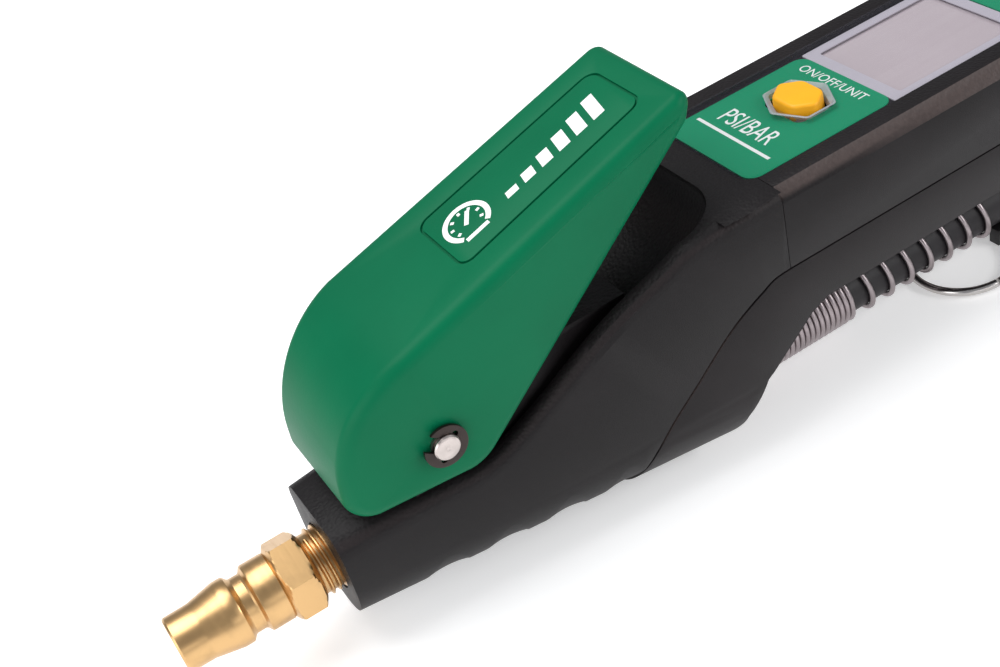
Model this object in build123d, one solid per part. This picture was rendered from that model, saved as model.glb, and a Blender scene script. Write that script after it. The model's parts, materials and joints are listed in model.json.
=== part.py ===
from build123d import *
from math import atan, cos, degrees, pi, radians, sin, tan
import os

# A hand-held tyre inflator: an air-line plug in front, a squeeze lever over a valve, a battery
# gauge behind it, and a short hose with a clip-on chuck.
# Design coordinates, in millimetres: X runs rearward from the body's front face, Y is across,
# Z is up, and the inlet plug's axis is the line Y = Z = 0.

# ---- driving dimensions -------------------------------------------------------------------
PLUG_TIP_X = -30.5          # tip of the air-line plug
TAIL_X = 176.0              # rear end of the gauge housing
FLOOR_Z = -18.4             # what the tool lies on
FRONT_R = 11.4              # body radius at its front face
BODY_HALF = 20.0            # half the gauge housing's width
TAPER_X = 86.0              # where the grip has grown to full width
DECK_Z = 38.4               # rim around the display
SEAM_Z = 21.9               # parting line between the upper and lower shells
UNDER_Z = 11.0              # underside of the gauge housing
WALL = 2.5                  # moulded wall
SPLIT_X = 92.3              # parting line between grip and gauge cover
GAP = 0.35                  # visible gap at a parting line
SPLIT_GAP = 0.12            # the tighter gap across the deck
BORE_R = 3.0                # air passage
RUN = 0.05                  # radial clearance of a running fit
RAIL = 3.6                  # width of each rail beside the tower

PIN_X, PIN_Z, PIN_R = 22.5, 23.4, 2.45      # lever pin
VALVE_X = 42.0              # valve axis, vertical
LEVER_HALF = 15.5           # half the lever's width at the pin
LEVER_WALL = 2.4
TOWER_HALF = 10.5           # half the width of the valve tower
TOWER_TOP = 28.0

HOSE_R, HOSE_Z = 5.25, -9.8
COIL_WIRE = 1.2             # wire of the hose's spring guard
LENS = (90.3, 173.3, 13.6)  # display lens: front, rear, half width
BUTTON_X = 112.7
RING_R, RING_WIRE = 11.3, 0.9
RING_X, RING_Y, RING_Z = 148.3, -3.6, -17.45      # middle of the ring, and its lowest centreline

ORIGIN = ((PLUG_TIP_X + TAIL_X) / 2, 0, FLOOR_Z)

parts = {}


def keep(name, shape):
    """Store one piece under its node name."""
    parts[name] = shape


# ---- small builders -----------------------------------------------------------------------
def side(edges, half, y=0.0):
    """A closed outline in the XZ plane, as a slab from y - half to y + half."""
    face = Face(Wire(edges))
    return Pos(0, y, 0) * extrude(face, amount=half, dir=(0, 1, 0), both=True)


def xz(*points):
    """Points given as (x, z), as a polyline in the XZ plane."""
    return Polyline(*[(x, 0, z) for x, z in points])


def plate(x0, x1, half, z0, z1):
    """A box from x0 to x1 and z0 to z1, centred on Y = 0."""
    return Pos((x0 + x1) / 2, 0, (z0 + z1) / 2) * Box(x1 - x0, 2 * half, z1 - z0)


def rounded_plate(x0, x1, half, z0, z1, corner):
    """The same box with its upright corners rounded."""
    sketch = RectangleRounded(x1 - x0, 2 * half, corner)
    return Pos((x0 + x1) / 2, 0, z0) * extrude(sketch, z1 - z0)


def upright(r, z0, z1, x, y=0.0):
    """A vertical cylinder."""
    return Pos(x, y, (z0 + z1) / 2) * Cylinder(r, z1 - z0)


def along(r, x0, x1, y=0.0, z=0.0):
    """A cylinder along X."""
    return Pos((x0 + x1) / 2, y, z) * Rot(0, 90, 0) * Cylinder(r, x1 - x0)


def across(r, y0, y1, x, z):
    """A cylinder along Y."""
    return Pos(x, (y0 + y1) / 2, z) * Rot(90, 0, 0) * Cylinder(r, abs(y1 - y0))


def o_ring(major, minor, x, y, z, axis="z"):
    """A rubber ring around the given axis."""
    turn = {"z": Rot(0, 0, 0), "x": Rot(0, 90, 0), "y": Rot(90, 0, 0)}[axis]
    return Pos(x, y, z) * turn * Torus(major, minor)


def turned(*profile):
    """A turned part: (x, r) points from one end to the other, spun about the X axis."""
    first, last = profile[0][0], profile[-1][0]
    outline = xz((first, 0), *profile, (last, 0), (first, 0))
    return revolve(Face(Wire(outline.edges())), Axis.X, 360)


# ---- body envelope ------------------------------------------------------------------------
def u_section(x, half, z_mid=0.0):
    """Upright sides over a half-round bottom."""
    top = DECK_Z + 12
    sides = Polyline((x, -half, z_mid), (x, -half, top), (x, half, top), (x, half, z_mid))
    bottom = ThreePointArc((x, half, z_mid), (x, 0, z_mid - half), (x, -half, z_mid))
    return Wire(sides.edges() + bottom.edges())


def trough(shrink=0.0):
    """The whole body's tapered U form, shrunk all round for a cavity."""
    front = u_section(0, FRONT_R - shrink)
    full = u_section(TAPER_X, BODY_HALF - shrink)
    rear = u_section(TAIL_X + 1, BODY_HALF - shrink)
    return Solid.make_loft([front, full], True) + Solid.make_loft([full, rear], True)


RAMP = [(26, 11.5), (30, 12.0), (35, 14.2), (44, 19.6), (53, 25.6), (62, 30.4), (70, 34.0), (80, 37.3)]


def ramp_points(count=16):
    """Even points along the smooth ramp from the front block up to the deck."""
    curve = Spline([(x, 0, z) for x, z in RAMP], tangents=[(1, 0, 0), (1, 0, 0.22)])
    return [((curve @ (n / count)).X, (curve @ (n / count)).Z) for n in range(count + 1)]


def body_outline():
    """Side view of the whole body, shells together."""
    ramp = xz(*ramp_points())
    last_x, last_z = ramp_points()[-1]
    deck = xz((last_x, last_z), (SPLIT_X, DECK_Z), (TAIL_X - 5, DECK_Z))
    tail_top = ThreePointArc((TAIL_X - 5, 0, DECK_Z), (TAIL_X - 1.4, 0, DECK_Z - 1.5), (TAIL_X, 0, DECK_Z - 6))
    tail = xz((TAIL_X, DECK_Z - 6), (TAIL_X, UNDER_Z + 6), (TAIL_X - 4, UNDER_Z), (100, UNDER_Z))
    cheek = xz((100, UNDER_Z), (96, 9.4), (84.5, 0.0), (80.5, -8.0))
    heel = ThreePointArc((80.5, 0, -8.0), (77.6, 0, -14.6), (72, 0, FLOOR_Z))
    keel = xz((72, FLOOR_Z), (0, FLOOR_Z), (0, 11.5), ramp_points()[0])
    return (ramp.edges() + deck.edges() + tail_top.edges() + tail.edges() + cheek.edges()
            + heel.edges() + keel.edges())


def below_seam(dx=0.0, dz=0.0):
    """Everything under the curved parting line between the upper and lower shells."""
    curve = Spline([(55.0, 0, -19.0), (57.2, 0, -10), (61.3, 0, -2.0), (70.5, 0, 7.6), (80.5, 0, 17.0),
                    (87, 0, 21.0), (94, 0, SEAM_Z)], tangents=[(0.1, 0, 1), (1, 0, 0)])
    rest = xz((94, SEAM_Z), (TAIL_X + 9, SEAM_Z), (TAIL_X + 9, -30), (55, -30), (55, -19.0))
    return Pos(dx, 0, dz) * side(curve.edges() + rest.edges(), 30)


def inside():
    """The hollow shared by grip, gauge cover and lower shell."""
    room = xz((53, -14.5), (53, 8.8), (60, 12.6), (71.5, 20.0), (84.5, 33.0), (93, 35.6),
              (TAIL_X - 6, 35.6), (TAIL_X - WALL, 31), (TAIL_X - WALL, UNDER_Z + 7), (TAIL_X - 6, UNDER_Z + 2.2),
              (100.5, UNDER_Z + 2.2), (94.5, 11.2), (82.2, 1.0), (78, -7.4), (75.2, -12.5), (70, -15.9),
              (58, -15.9), (53, -14.5))
    return side(room.edges(), 30) & trough(WALL)


WHOLE = side(body_outline(), 30) & trough()
HOLLOW = inside()

# ---- air block ----------------------------------------------------------------------------
BLOCK_R, BOSS_R, SEAT_R, OUTLET_R = 8.2, 7.2, 4.5, 5.0
BLOCK_X = (3.0, 71.4)
SENSOR_X = 67.0


def air_block():
    block = along(BLOCK_R, *BLOCK_X) + upright(BOSS_R, -12.4, 26.6, VALVE_X)
    block += upright(5.6, 0, 10.2, SENSOR_X) + along(OUTLET_R, 60.5, 71.4, z=HOSE_Z)
    block -= along(6.6, 2, 16) + along(BORE_R, 2, 68)
    block -= upright(SEAT_R, -13, 27, VALVE_X)
    block -= upright(1.2, 0, 12, SENSOR_X) + upright(3.0, 9.2, 12, SENSOR_X)
    block -= along(BORE_R, 62, 78, z=HOSE_Z) + upright(1.6, HOSE_Z, 0, 63.5)
    return block


def air_block_room():
    """The grip's socket for the air block."""
    room = along(BLOCK_R + 0.15, BLOCK_X[0] - 0.15, 60) + upright(BOSS_R + 0.1, -12.6, 26.8, VALVE_X)
    return room + along(6.75, -1, 4)


# ---- shells -------------------------------------------------------------------------------
def grip_grooves():
    """Shallow finger scallops under the grip, each a ring cut whose depth fades up the sides."""
    cuts = []
    for n in range(4):
        x = 15.8 + 12.3 * n
        r = FRONT_R + (BODY_HALF - FRONT_R) * x / TAPER_X + 1.5
        arc = ThreePointArc((x - 6.1, 0, -r), (x + 1.5, 0, -r + 0.95), (x + 6.1, 0, -r))
        close = xz((x + 6.1, -r), (x + 6.1, -r - 4), (x - 6.1, -r - 4), (x - 6.1, -r))
        ring = revolve(Face(Wire(arc.edges() + close.edges())), Axis.X, 360)
        cuts.append((Pos(0, 0, 1.35) * ring) & plate(-5, 80, 30, -40, 2))
    return cuts


def pocket():
    """The well behind and beside the tower, between the two rails."""
    floor = xz((31, 11.6), (60, 17.0), (72, 24.5))
    wall = ThreePointArc((72, 0, 24.5), (79.6, 0, 30.2), (85.0, 0, 38.6))
    over = xz((85.0, 38.6), (85, 60), (31, 60), (31, 11.6))
    well = side(floor.edges() + wall.edges() + over.edges(), 30)
    corners = [(x, s * (half_at(x) - RAIL)) for x, s in ((24, -1), (84.2, -1), (84.2, 1), (24, 1))]
    plan = make_face(FilletPolyline(*corners, radius=[0.5, 9.0, 9.0, 0.5], close=True))
    return well & extrude(plan, 70)


def tower():
    """Carries the lever pin and the valve, and stands proud of the grip."""
    nose = ThreePointArc((PIN_X - 6.2, 0, PIN_Z), (PIN_X - 4.2, 0, PIN_Z + 3.6), (PIN_X, 0, TOWER_TOP))
    rest = xz((PIN_X, TOWER_TOP), (63.7, TOWER_TOP), (63.7, 12), (26, 8), (PIN_X - 6.2, 8), (PIN_X - 6.2, PIN_Z))
    return side(nose.edges() + rest.edges(), TOWER_HALF)


def half_at(x):
    """Half the body's width at a station."""
    return min(BODY_HALF, FRONT_R + (BODY_HALF - FRONT_R) * x / TAPER_X)


def rail_wedge(x, z, s, angle):
    """Section of the cut that eases a top edge, tangent to its round corner at the angle."""
    r = max(3.2, 5.0 - max(x, 0) * 0.07)
    y, top = half_at(x) - r, z - r
    reach = half_at(x) + 2 - y
    inner = y + (r - (r + 0.01) * cos(angle)) / sin(angle)
    low = top + (r - reach * sin(angle)) / cos(angle)
    corners = [(x, s * inner, z + 0.01), (x, s * (y + reach), z + 0.01), (x, s * (y + reach), low)]
    return Wire(Polyline(*corners, corners[0]).edges())


def eased_rails(shape):
    """Round off both top edges along the block and the ramp, a tangent plane at a time."""
    stations = [(-1, 11.5), (12, 11.5)] + ramp_points() + [(86, 37.7), (SPLIT_X + 1, DECK_Z + 0.05)]
    for s in (-1, 1):
        for angle in (radians(20), radians(45), radians(70)):
            wedges = [rail_wedge(x, z, s, angle) for x, z in stations]
            for front, rear in zip(wedges, wedges[1:]):
                shape = shape - Solid.make_loft([front, rear], True)
    return shape


def front_body():
    grip = WHOLE - below_seam() - plate(SPLIT_X - SPLIT_GAP / 2, 200, 30, -30, 60)
    grip = eased_rails(grip) - pocket() + tower() - HOLLOW - air_block_room()
    grip -= across(PIN_R, -12, 12, PIN_X, PIN_Z)
    grip -= upright(SEAT_R + 1.2, 20, 30, VALVE_X)
    grip -= display_recess()
    for cut in grip_grooves():
        grip -= cut
    return max(grip.solids(), key=lambda body: body.volume)


def display_recess():
    """Seat for the label and lens in the deck, with the window, switch and button openings."""
    x0, x1, half = LENS
    seat = rounded_plate(x0 - 0.15, x1 + 0.15, half + 0.15, 37.3, 45, 3.6)
    window = plate(125.5, 157.5, 12.4, 30, 45)
    return seat + window + rounded_plate(BUTTON_X - 4.6, BUTTON_X + 4.6, 6.4, 30, 45, 2.5)


def chamfered_deck(shape):
    """The sloped band along both sides of the deck."""
    for s in (-1, 1):
        wedge = Polyline((0, s * 17.8, DECK_Z), (0, s * 20.5, DECK_Z - 3.24), (0, s * 20.5, 45), (0, s * 17.8, 45),
                         (0, s * 17.8, DECK_Z))
        band = extrude(Face(Wire(wedge.edges())), amount=110, dir=(1, 0, 0))
        shape = shape - Pos(SPLIT_X, 0, 0) * band
    return shape


SCREWS = [(100, 16.6), (100, -16.6), (164, 16.6), (164, -16.6)]


def display_cover():
    cover = WHOLE - below_seam() - plate(-5, SPLIT_X + SPLIT_GAP / 2, 30, -30, 60) - HOLLOW
    cover = chamfered_deck(cover) - display_recess()
    for x, y in SCREWS:
        boss = upright(2.9, SEAM_Z, 35.8, x, y) & trough(0.5)
        cover = cover + boss - upright(1.2, SEAM_Z - 1, 32, x, y)
    return cover


DOOR = (106.0, 158.0, 12.5)


def lower_shell():
    shell = (WHOLE & below_seam(GAP, -GAP)) - HOLLOW
    shell -= along(HOSE_R + COIL_WIRE + 0.3, 70, 95, z=HOSE_Z)
    x0, x1, half = DOOR
    shell -= plate(x0 - 0.2, x1 + 0.2, half + 0.2, 5, UNDER_Z + 5)
    shell -= plate(x1 - 1, x1 + 6.2, 3.7, 5, UNDER_Z + 1.25)
    shell = shell + plate(x1 + 0.2, x1 + 6.2, 4.5, UNDER_Z + 1.3, UNDER_Z + 4) - upright(0.9, 5, 20, x1 + 3)
    for x, y in SCREWS:
        boss = upright(3.2, UNDER_Z + 0.2, SEAM_Z - GAP - 0.1, x, y) & trough(0.5)
        shell = shell + boss - upright(1.6, 5, 30, x, y) - upright(2.7, 5, 15.5, x, y)
    return shell


def battery_door():
    x0, x1, half = DOOR
    door = plate(x0, x1, half, UNDER_Z, UNDER_Z + 2)
    tab = plate(x1 - 1, x1 + 6, 3.5, UNDER_Z, UNDER_Z + 1.2)
    return door + tab - upright(1.1, 5, 20, x1 + 3)


def door_screw():
    x = DOOR[1] + 3
    return upright(1.9, UNDER_Z - 1.0, UNDER_Z, x) + upright(0.9, UNDER_Z, UNDER_Z + 4.5, x)


def screws():
    """Cover screws, driven from below."""
    return [upright(2.5, 13.4, 15.5, x, y) + upright(1.2, 15.5, 31.5, x, y) for x, y in SCREWS]


# ---- inlet --------------------------------------------------------------------------------
def inlet_plug():
    """Air-line plug with a 14 mm hexagon and an R1/4 thread."""
    body = turned((PLUG_TIP_X, 4.9), (PLUG_TIP_X + 0.5, 5.4), (-25.2, 5.4), (-20.2, 6.4), (-18.1, 6.4),
                  (-17.5, 5.45), (-15.2, 5.45), (-14.6, 6.53), (-10.1, 6.53), (-3.6, 6.53), (-3.3, 6.0),
                  (-2.6, 6.58), (14, 6.58), (15, 6.0))
    hexagon = Rot(0, 90, 0) * extrude(RegularPolygon(14 / 2, 6, major_radius=False), 5.6)
    cone = turned((-10.4, 6.2), (-9.3, 8.1), (-4.9, 8.1), (-3.5, 6.2))
    body += (Pos(-10, 0, 0) * hexagon) & cone
    return body - along(3.4, PLUG_TIP_X - 1, 16) - along(4.1, PLUG_TIP_X - 1, PLUG_TIP_X + 4)


# ---- valve --------------------------------------------------------------------------------
STEM_TOP = 34.0


def valve_stem():
    stem = upright(1.6, -4.0, STEM_TOP - 0.8, VALVE_X) + Pos(VALVE_X, 0, STEM_TOP - 1.6) * Sphere(1.6)
    return stem + upright(3.5, -4.0, -2.4, VALVE_X)


def valve_gland():
    head = Pos(VALVE_X, 0, TOWER_TOP + 0.05) * extrude(RegularPolygon(5.5, 6, major_radius=False), 2.4)
    gland = head + upright(SEAT_R, 17, TOWER_TOP + 0.2, VALVE_X)
    return gland - upright(1.6 + RUN, 16, 40, VALVE_X) - upright(2.9, 16, 18.2, VALVE_X)


def valve_seat():
    seat = upright(SEAT_R, -1.2, 5.0, VALVE_X) - upright(2.3, -2, 6, VALVE_X)
    return seat - along(1.6, VALVE_X - 6, VALVE_X, z=3.0) - along(1.6, VALVE_X, VALVE_X + 6, z=3.0)


def end_plug():
    plug = upright(SEAT_R, -12.4, -8.6, VALVE_X)
    plug -= upright(SEAT_R + 1, -10.65, -9.35, VALVE_X) - upright(3.25, -11, -9, VALVE_X)
    return plug - plate(VALVE_X - 3, VALVE_X + 3, 0.5, -13, -11.5)


# ---- lever --------------------------------------------------------------------------------
SLOPE = 17.34               # the lever's top, in degrees to the body's axis


def lever_top(x):
    """Height of the lever's flat top."""
    return 48.8 + (x - 40) * 0.3122


def lever_side(inset=0.0):
    """Side view of the lever, or of its hollow when inset, as a face in the XZ plane."""
    t = inset
    sole, tail = (13.8, 55.6) if t == 0 else (7.0, 49.0)
    corners = [(3.6 + t, sole), (5.2 + t, lever_top(5.2) - 1.3 * t), (81.6 - t, lever_top(81.6) - 1.3 * t),
               (79.6 - t, tail), (29.4, sole)]
    radii = [5.0 - t, 24.0, 1.8, 1.6, 9.0]
    outline = FilletPolyline(*corners, radius=radii, close=True)
    return Rot(90, 0, 0) * Face(Wire(outline.edges()))


def lever_slab(inset=0.0):
    return extrude(lever_side(inset), amount=LEVER_HALF - inset, dir=(0, 1, 0), both=True)


def lever():
    blank = lever_slab()
    rim = [e for e in blank.edges() if abs(e.center().Y) > LEVER_HALF - 0.1]
    blank = fillet(rim, 2.6)
    skirt = blank - lever_slab(LEVER_WALL)
    rib = plate(VALVE_X - 2.6, VALVE_X + 2.6, LEVER_HALF - 1.4, STEM_TOP + 2.8, 60)
    rib += across(2.6, -6, 6, VALVE_X, STEM_TOP + 2.8)
    skirt += rib & lever_slab(1.0)
    return skirt - lever_groove() - across(PIN_R + RUN, -20, 20, PIN_X, PIN_Z)


def lever_groove():
    """The fine groove that frames the lever's top panel."""
    long, wide, corner, deep = 40.0, 17.0, 2.6, 0.5
    frame = RectangleRounded(long, wide, corner) - RectangleRounded(long - 1.0, wide - 1.0, corner - 0.5)
    at = Pos(56.3, 0, lever_top(56.3)) * Rot(0, -SLOPE, 0)
    return at * Pos(0, 0, -deep) * extrude(frame, 2.0)


CLIP_Y = 16.15              # middle of each retaining clip


def lever_pin():
    pin = across(PIN_R, -17.2, 17.2, PIN_X, PIN_Z)
    for s in (-1, 1):
        ring = across(3.4, s * CLIP_Y - 0.35, s * CLIP_Y + 0.35, PIN_X, PIN_Z)
        pin = pin - (ring - across(1.85, s * 15, s * 17.2, PIN_X, PIN_Z))
    return pin


def pin_clips():
    """E-clips, open towards the front and down."""
    clips = []
    for s in (-1, 1):
        disc = across(4.1, s * CLIP_Y - 0.3, s * CLIP_Y + 0.3, PIN_X, PIN_Z)
        disc -= across(1.9, s * 15, s * 17.2, PIN_X, PIN_Z)
        slot = Pos(PIN_X, s * CLIP_Y, PIN_Z) * Rot(0, 38, 0) * (Pos(-3.4, 0, 0) * Box(6.8, 2, 3.0))
        window = Pos(PIN_X, s * CLIP_Y, PIN_Z) * Rot(0, 38, 0)
        ears = window * (Pos(0.6, 0, 2.5) * Rot(90, 0, 0) * Cylinder(0.62, 3)
                         + Pos(0.6, 0, -2.5) * Rot(90, 0, 0) * Cylinder(0.62, 3))
        clips.append(disc - slot - ears)
    return clips


# ---- gauge --------------------------------------------------------------------------------
def display_lens():
    x0, x1, half = LENS
    lens = rounded_plate(x0, x1, half, 37.7, 38.9, 3.5)
    return lens - rounded_plate(BUTTON_X - 4.4, BUTTON_X + 4.4, 6.2, 30, 45, 2.5)


def label_print():
    """The printed film under the lens, in two fields with the clear window between them."""
    front = rounded_plate(91.4, 124.5, 12.7, 37.35, 37.65, 2.6)
    rear = rounded_plate(158.4, 172.2, 12.7, 37.35, 37.65, 2.6)
    return [front - rounded_plate(BUTTON_X - 4.5, BUTTON_X + 4.5, 6.3, 30, 45, 2.5), rear]


def power_button():
    cap = extrude(RegularPolygon(4.6, 6), 5.6)
    cap = Pos(BUTTON_X, 0, 34.6) * scale(cap, (0.74, 1.02, 1.0))
    top = cap.faces().sort_by(Axis.Z)[-1]
    flange = rounded_plate(BUTTON_X - 5.4, BUTTON_X + 5.4, 7.2, 34.4, 35.3, 2.0)
    return fillet(top.edges(), 0.7) + flange + upright(1.4, 33.8, 34.6, BUTTON_X)


def circuit_board():
    board = plate(97, 168, 13.2, 29.9, 31.5)
    holes = [upright(1.3, 25, 35, x, y) for x in (104, 162) for y in (-9.5, 9.5)]
    for hole in holes:
        board -= hole
    return board


def batteries():
    """Two AAA cells side by side."""
    cells = []
    for s in (-1, 1):
        cell = along(5.25, 110.3, 153.8, y=s * 5.6, z=19.3) + along(1.9, 153.8, 154.6, y=s * 5.6, z=19.3)
        cells.append(cell if s > 0 else Pos(264.9, 0, 0) * mirror(cell, Plane.YZ))
    return cells


def battery_contacts():
    front = plate(108.6, 109.1, 10.4, 15, 24)
    rear = plate(155.6, 156.1, 10.4, 15, 24)
    return [front, rear]


def battery_tray():
    """The moulded holder for the cells, fixed inside the lower shell."""
    tray = plate(107, 157.8, 12.6, 13.6, 26.6) - plate(108.4, 156.4, 11.4, 12, 27)
    return tray


def sensor():
    return upright(4.4, 10.25, 13.6, SENSOR_X) + upright(1.1, 8.6, 10.3, SENSOR_X)


# ---- hose end on the tool -----------------------------------------------------------------
HOSE_START = 79.0
GUARD_END = 156.5


def hose_fitting():
    """Brass stem screwed into the air block, with the hose pressed against its shoulder."""
    stem = along(BORE_R, 66, 71.5, z=HOSE_Z) + along(4.3, 71.5, HOSE_START, z=HOSE_Z)
    return stem - along(1.6, 65, 80, z=HOSE_Z)


def hose_ferrule():
    return along(6.3, 72.3, 78.4, z=HOSE_Z) - along(4.32, 72, 79, z=HOSE_Z)


def spring_guard():
    """Envelope of the wire coil that stops the hose from kinking."""
    outer = along(HOSE_R + 0.05 + COIL_WIRE, 78.5, GUARD_END, z=HOSE_Z)
    return outer - along(HOSE_R + 0.05, 78, GUARD_END + 1, z=HOSE_Z)


CHUCK_START, CHUCK_Y, CHUCK_Z, CHUCK_R = 142.4, -117.0, -10.9, 7.5
REST_Z = FLOOR_Z + HOSE_R
ROUTE = [(HOSE_START, 0, HOSE_Z), (191, 0, HOSE_Z), (225.3, -34.2, -12.3), (225.3, -82.8, REST_Z),
         (191, CHUCK_Y, CHUCK_Z), (CHUCK_START, CHUCK_Y, CHUCK_Z)]


def hose():
    """Rubber hose: straight under the tool, then one open turn on the surface beside it."""
    points = [Vector(*p) for p in ROUTE]
    runs = [b - a for a, b in zip(points, points[1:])]
    radii = []
    for a, b in zip(runs, runs[1:]):
        half_turn = radians(a.get_angle(b) / 2)
        radii.append(0.45 * min(a.length, b.length) / tan(half_turn))
    path = FilletPolyline(*points, radius=radii)
    start = Plane(origin=path @ 0, z_dir=path % 0)
    tube = sweep(start * Circle(HOSE_R), path=path)
    print("hose radii", [round(r) for r in radii], "length", round(path.length, 1),
          "volume ratio", round(tube.volume / (path.length * pi * HOSE_R ** 2), 4))
    return tube


# ---- chuck, built along X at the hose's far end ---------------------------------------------
CHUCK_BORE = 4.1


def chuck_at(shape):
    return Pos(CHUCK_START, CHUCK_Y, CHUCK_Z) * shape


def chuck_stem():
    stem = along(4.3, -14.5, 0) + along(3.2, -24, -14.5)
    return chuck_at(stem - along(1.6, -25, 1))


def chuck_ferrule():
    return chuck_at(along(6.3, -13.4, -0.4) - along(4.32, -14, 0))


def chuck_body():
    body = turned((-54, 6.3), (-53, 7.1), (-36, 7.1), (-35, 6.4), (-33, 6.4), (-32, CHUCK_R), (-16, CHUCK_R), (-14.6, 6.2))
    body -= along(CHUCK_BORE, -55, -41) + along(1.6, -45, -10) + along(3.2, -24, -14)
    body -= along(5.4, -48.5, -43.5)
    cheeks = Pos(-48, 0, 8.4) * Box(8, 7.4, 5.6) - Pos(-48, 0, 9.0) * Box(12, 4.2, 8)
    body += cheeks - along(7.0, -60, -30)
    body -= Pos(-50.6, 0, 6.0) * Box(6.0, 4.2, 6.5)
    return chuck_at(body - across(0.97, -9, 9, -48, 9.3))


def chuck_seal():
    return chuck_at(along(5.3, -48.4, -43.6) - along(3.0, -49, -43))


def chuck_core():
    """Brass disc whose pin opens the tyre valve's core."""
    core = along(CHUCK_BORE, -42.4, -41) + along(0.9, -46.5, -42.4)
    for y, z in ((2.6, 0), (-1.3, 2.25), (-1.3, -2.25)):
        core -= along(0.7, -44, -40, y, z)
    return chuck_at(core)


def chuck_pin():
    return chuck_at(across(0.97, -3.7, 3.7, -48, 9.3))


def chuck_lever():
    """Thumb lever; its jaw bites the tyre valve's thread."""
    lever = Pos(-33.0, 0, 12.2) * Rot(0, -4, 0) * Box(31, 3.9, 1.8)
    lever += Pos(-48, 0, 10.3) * Box(4.4, 3.9, 4.6) + Pos(-51.4, 0, 8.0) * Box(3.0, 3.9, 8.0)
    pad = Pos(-21.5, 0, 13.0) * Rot(0, -4, 0) * Box(9, 9.5, 1.8)
    lever += fillet(pad.edges().filter_by(Axis.Z, tolerance=6), 2.0)
    lever -= across(1.0 + 0.02, -5, 5, -48, 9.3)
    return chuck_at(lever)


# ---- seals, springs and small gauge parts ---------------------------------------------------
def poppet_seal():
    return upright(3.4, -2.4, -1.25, VALVE_X) - upright(1.62, -3, 0, VALVE_X)


def valve_spring():
    """Conventional round-wire compression spring under the poppet."""
    wire, radius, length = 0.36, 2.75, 3.7
    coil = Helix(pitch=1.2, height=length, radius=radius)
    start = Plane(origin=coil @ 0, z_dir=coil % 0)
    return Pos(VALVE_X, 0, -8.6 + wire + 0.08) * sweep(start * Circle(wire), path=coil, is_frenet=True)


def inlet_filter():
    """Sintered disc behind the air-line plug."""
    return along(BORE_R, 17.5, 20.5)


def tact_switch():
    return plate(BUTTON_X - 3, BUTTON_X + 3, 3, 31.5, 33.0) + upright(1.5, 33.0, 33.3, BUTTON_X)


def lcd_module():
    return plate(126, 157, 12.0, 33.5, 36.9)


def light_guide():
    return plate(127, 156, 11.4, 31.6, 33.4)


# ---- tail clip and ring -------------------------------------------------------------------
CLIP_X = (164.0, 172.0)
EYE_X, EYE_Z, EYE_R = RING_X + RING_R, -16.1, 1.05
LUG_HALF, LUG_TOP = 1.3, -14.65


def hose_clip():
    """Saddle under the tail that guides the hose and carries the hanging ring."""
    x0, x1 = CLIP_X
    post = plate(x0, x1, 7.6, FLOOR_Z, UNDER_Z - 0.05)
    post = fillet(post.edges().filter_by(Axis.X).group_by(Axis.Z)[0], 3.0)
    post -= along(HOSE_R + 0.35, x0 - 1, x1 + 1, z=HOSE_Z)
    post -= plate(x0 - 1, x1 + 1, 4.6, -1.5, 7.5)
    lug = Pos(0, RING_Y, 0) * plate(EYE_X - 2.2, x0 + 1, LUG_HALF, FLOOR_Z, LUG_TOP)
    return post + lug - across(EYE_R, -9, 3, EYE_X, EYE_Z)


def hanging_ring():
    """Lies almost flat, its rear held up by the lug."""
    tilt = degrees(atan((EYE_Z - RING_Z) / (2 * RING_R)))
    at = Pos(EYE_X, RING_Y, EYE_Z) * Rot(0, -tilt, 0) * Pos(-RING_R, 0, 0)
    return at * Torus(RING_R, RING_WIRE)


for piece, shape in {
    "front_body": front_body(), "display_cover": display_cover(), "lower_shell": lower_shell(),
    "battery_door": battery_door(), "cover_screws": screws(), "air_block": air_block(),
    "inlet_plug": inlet_plug(), "valve_stem": valve_stem(), "valve_gland": valve_gland(),
    "valve_seat": valve_seat(), "valve_end_plug": end_plug(), "lever": lever(), "lever_pin": lever_pin(),
    "pin_clips": pin_clips(), "display_lens": display_lens(), "label_print": label_print(),
    "power_button": power_button(), "circuit_board": circuit_board(), "batteries": batteries(),
    "battery_contacts": battery_contacts(), "battery_tray": battery_tray(), "pressure_sensor": sensor(),
    "hose_clip": hose_clip(), "hanging_ring": hanging_ring(), "hose_fitting": hose_fitting(),
    "hose_ferrule": hose_ferrule(), "spring_guard": spring_guard(), "hose": hose(),
    "chuck_stem": chuck_stem(), "chuck_ferrule": chuck_ferrule(), "chuck_body": chuck_body(),
    "chuck_seal": chuck_seal(), "chuck_pin": chuck_pin(), "chuck_lever": chuck_lever(),
    "stem_seal": o_ring(2.25, 0.6, VALVE_X, 0, 17.55), "poppet_seal": poppet_seal(),
    "end_plug_seal": o_ring(3.88, 0.58, VALVE_X, 0, -10.0), "valve_spring": valve_spring(),
    "sensor_seal": o_ring(2.4, 0.5, SENSOR_X, 0, 9.7), "inlet_filter": inlet_filter(), "chuck_core": chuck_core(),
    "door_screw": door_screw(), "tact_switch": tact_switch(), "lcd_module": lcd_module(), "light_guide": light_guide(),
}.items():
    keep(piece, shape)

os.makedirs("parts", exist_ok=True)
for name, shape in parts.items():
    solids = shape if isinstance(shape, list) else [shape]
    moved = [Pos(*[-v for v in ORIGIN]) * s for s in solids]
    export_step(moved[0] if len(moved) == 1 else Compound(children=moved), f"parts/{name}.step")
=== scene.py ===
# %% [markdown]
# # A hand-held tyre inflator with a gauge
#
# The tool has an air-line plug in front, a squeeze lever over a valve, a battery gauge behind it,
# and a short hose that ends in a clip-on chuck. The CAD model is already exact, so it is loaded as
# a fixed frame. Blender gives it its looks: eased edges, real threads and coils, and finishes.

# %% Load the frame
import json
from math import atan2, cos, hypot, pi, radians, sin

import bmesh
import bpy
from mathutils import Matrix, Vector


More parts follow.
